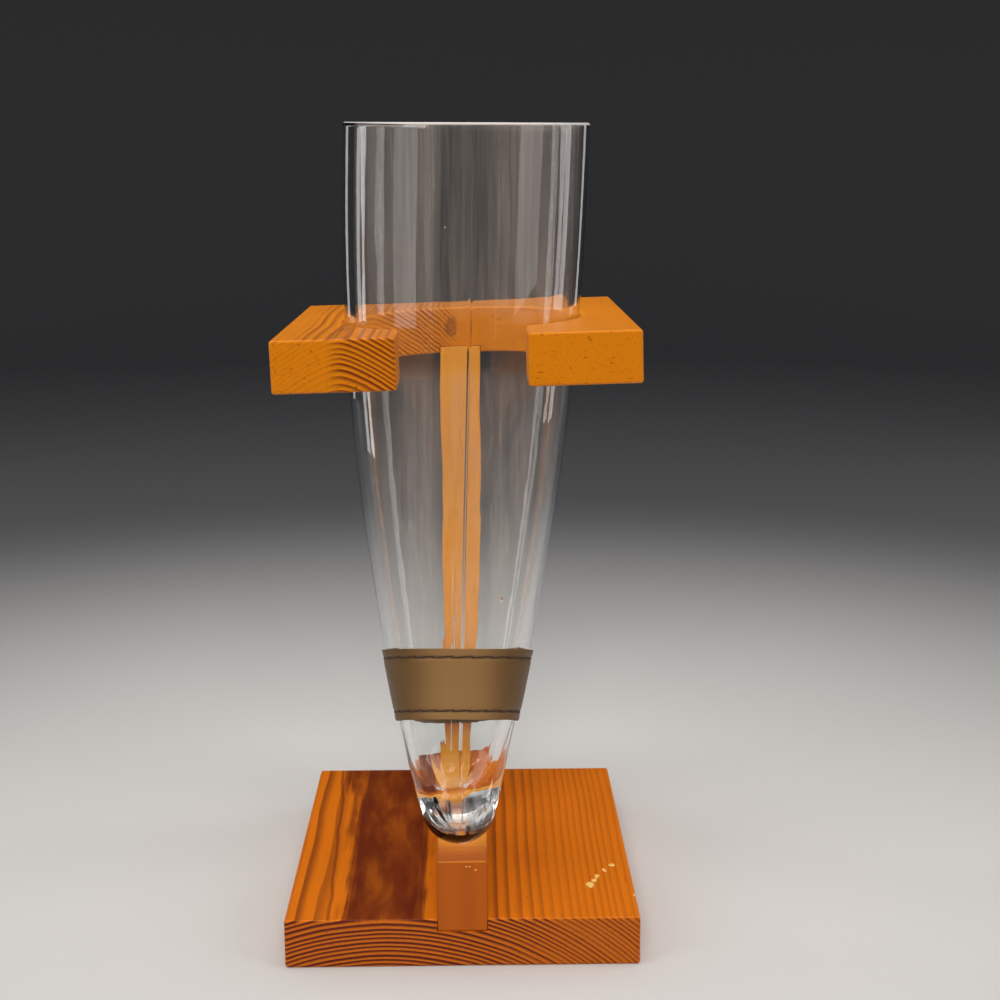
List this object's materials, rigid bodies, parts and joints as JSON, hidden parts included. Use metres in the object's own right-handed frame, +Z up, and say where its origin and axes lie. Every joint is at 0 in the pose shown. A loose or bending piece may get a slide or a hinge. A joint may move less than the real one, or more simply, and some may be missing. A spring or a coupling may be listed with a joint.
{
  "type": "drinking horn on a stand",
  "caption": "Curved clear glass drinking horn with a stitched leather band, lifted out of the slotted yoke of a pine stand.",
  "frame": {"origin": "middle of the base board's underside", "axes": "+Z up, -Y the front with the horn's tip, +X to the right as seen from the front"},
  "size_m": [0.14, 0.16, 0.3274],
  "materials": {
    "pine_base": "varnished pine, orange brown, satin gloss",
    "pine_upright": "varnished pine, amber, satin gloss",
    "pine_yoke": "varnished pine, amber orange, satin gloss",
    "screw_steel": "bright plated",
    "dowel_beech": "bare",
    "clear_glass": "clear, mould blown, slightly streaky",
    "band_leather": "smooth olive brown, satin",
    "sewing_thread": "dark waxed thread"
  },
  "bodies": {
    "stand": {"base_board": "pine_base", "upright": "pine_upright", "yoke_board": "pine_yoke", "base_screw_front": "screw_steel", "base_screw_rear": "screw_steel", "yoke_dowel_front": "dowel_beech", "yoke_dowel_rear": "dowel_beech"},
    "horn": {"horn_glass": "clear_glass", "leather_band": "band_leather", "band_thread_top": "sewing_thread", "band_thread_bottom": "sewing_thread", "band_thread_seam": "sewing_thread"}
  },
  "joints": [
    {"name": "horn_lift", "type": "slide", "parent": "stand", "child": "horn", "axis": [0.0087, 0.1219, 0.9925], "range_m": [0, 0.23]}
  ]
}
